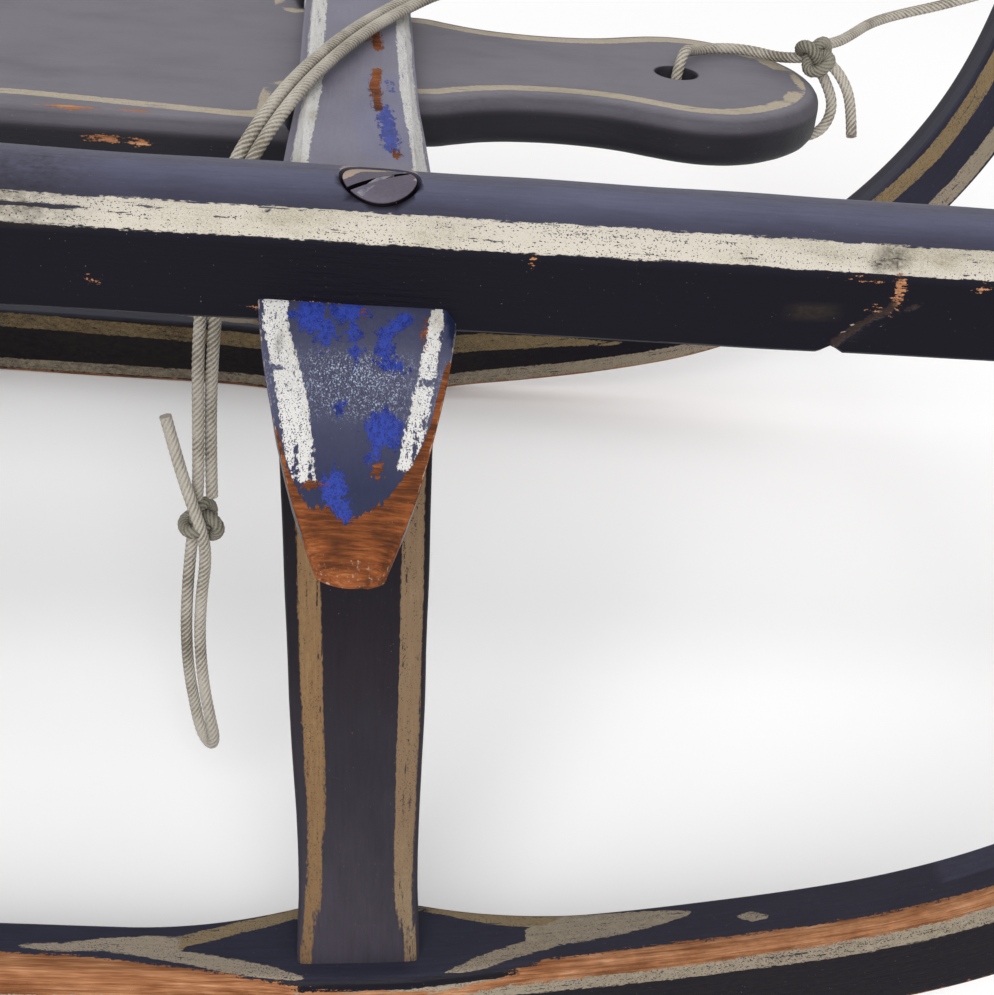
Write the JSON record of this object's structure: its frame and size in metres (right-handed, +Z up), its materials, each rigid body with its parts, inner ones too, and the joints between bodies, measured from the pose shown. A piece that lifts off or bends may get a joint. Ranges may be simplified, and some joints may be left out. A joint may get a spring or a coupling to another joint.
{
  "type": "bentwood child's sled",
  "caption": "Bentwood child's sled: bent runners with bows, posts with wedged tenons, horned cross-beams, side rails, a plank with a tongue, and a pull cord.",
  "frame": {"origin": "middle of the footprint, on the ground", "axes": "+X forwards to the bows, +Y to the sled's left, +Z up"},
  "size_m": [0.86, 0.44, 0.2337],
  "materials": {
    "painted_runner": "old blue-black oil paint with cream stripes, worn to orange-brown ash on the outer upper arris",
    "painted_rail": "old blue-black oil paint, satin, with one cream stripe along each side of the crown",
    "painted_post": "old blue-black oil paint with a cream stripe down each edge",
    "painted_beam": "old blue-black oil paint with cream stripes, horns worn through cobalt blue to orange-brown wood",
    "painted_plank": "old blue-black oil paint, chalky grey on top, cream stripe inside the edge",
    "painted_rung": "old blue-black oil paint, worn",
    "bare_wood": "end grain of ash, darkened",
    "cord": "limp braided cotton, grey-beige with dirt"
  },
  "bodies": {
    "root": {"runner_right": "painted_runner", "rail_right": "painted_rail", "post_front_right": "painted_post", "wedge_front_right": "bare_wood", "post_middle_right": "painted_post", "wedge_middle_right": "bare_wood", "post_rear_right": "painted_post", "wedge_rear_right": "bare_wood", "runner_left": "painted_runner", "rail_left": "painted_rail", "post_front_left": "painted_post", "wedge_front_left": "bare_wood", "post_middle_left": "painted_post", "wedge_middle_left": "bare_wood", "post_rear_left": "painted_post", "wedge_rear_left": "bare_wood", "beam_front": "painted_beam", "deck_pegs_front": "bare_wood", "beam_middle": "painted_beam", "deck_pegs_middle": "bare_wood", "beam_rear": "painted_beam", "deck_pegs_rear": "bare_wood", "deck_plank": "painted_plank", "nose_rung": "painted_rung", "cord_tongue": "cord", "cord_lead": "cord", "cord_strand_long": "cord", "cord_strand_short": "cord", "knot_tongue": "cord", "knot_rung": "cord", "knot_hand": "cord"}
  },
  "joints": []
}
